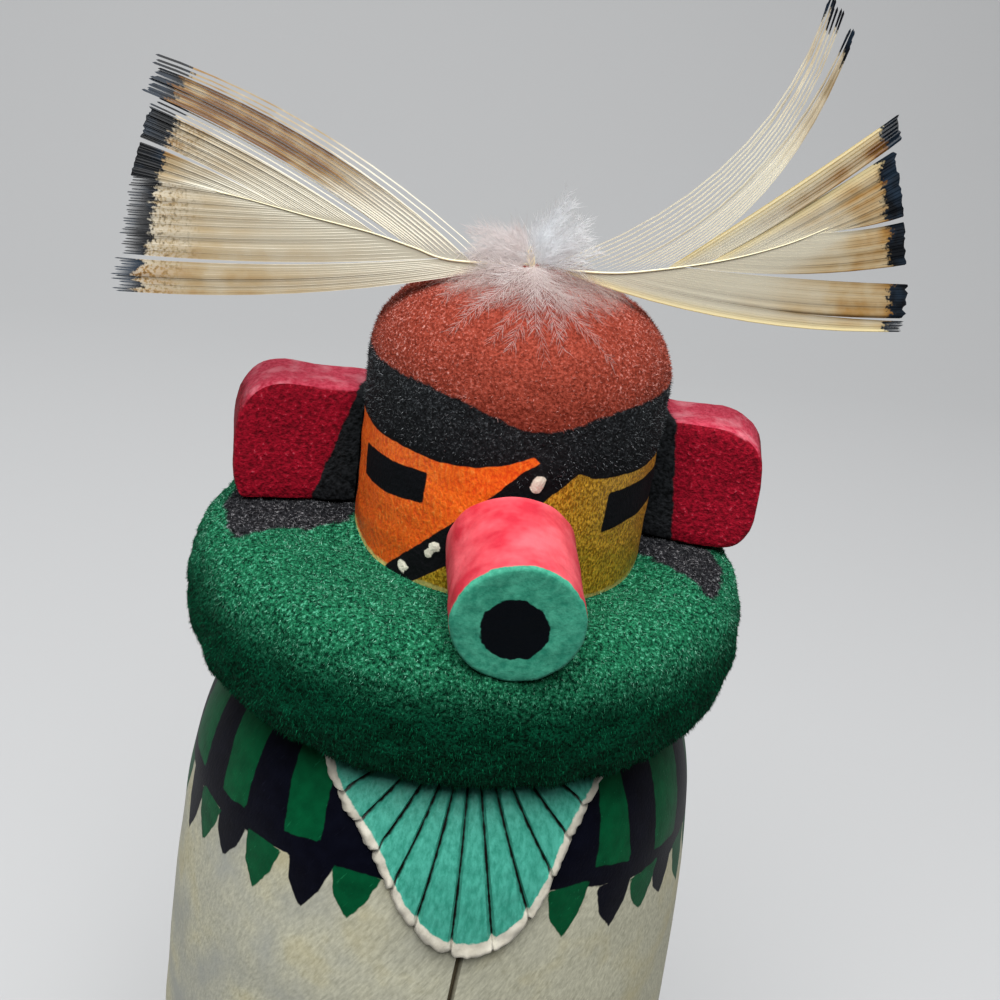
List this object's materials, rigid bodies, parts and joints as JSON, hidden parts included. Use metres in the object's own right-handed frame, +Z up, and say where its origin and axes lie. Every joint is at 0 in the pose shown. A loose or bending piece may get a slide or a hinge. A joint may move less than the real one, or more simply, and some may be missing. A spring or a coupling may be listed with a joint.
{
  "type": "kachina doll",
  "caption": "Carved and painted wooden doll in a robe and ruff, with a helmet head, snout, tab ears and crown feathers, standing on a low round slab.",
  "frame": {"origin": "centre of the slab's flat underside", "axes": "+Z up through the doll, -Y the way it faces, +X to its left"},
  "size_m": [0.0941, 0.08, 0.2519],
  "materials": {
    "bare_wood": "bare sanded cottonwood root, matte",
    "painted_figure": "hand painted wood, matte, in cream, green, black, orange, gold and rust",
    "painted_snout": "hand painted wood, pink-red sides and a turquoise muzzle with a black disc",
    "painted_ear": "hand painted wood, dark red, matte",
    "feather_vane": "natural feather barbs, cream to brown with blue-black trimmed tips",
    "down": "soft white down plumes"
  },
  "bodies": {
    "root": {"slab": "bare_wood", "carved_figure": "painted_figure", "snout": "painted_snout", "ear_right": "painted_ear", "ear_left": "painted_ear", "feather_right": "feather_vane", "feather_left": "feather_vane", "down_feather": "down"}
  },
  "joints": []
}
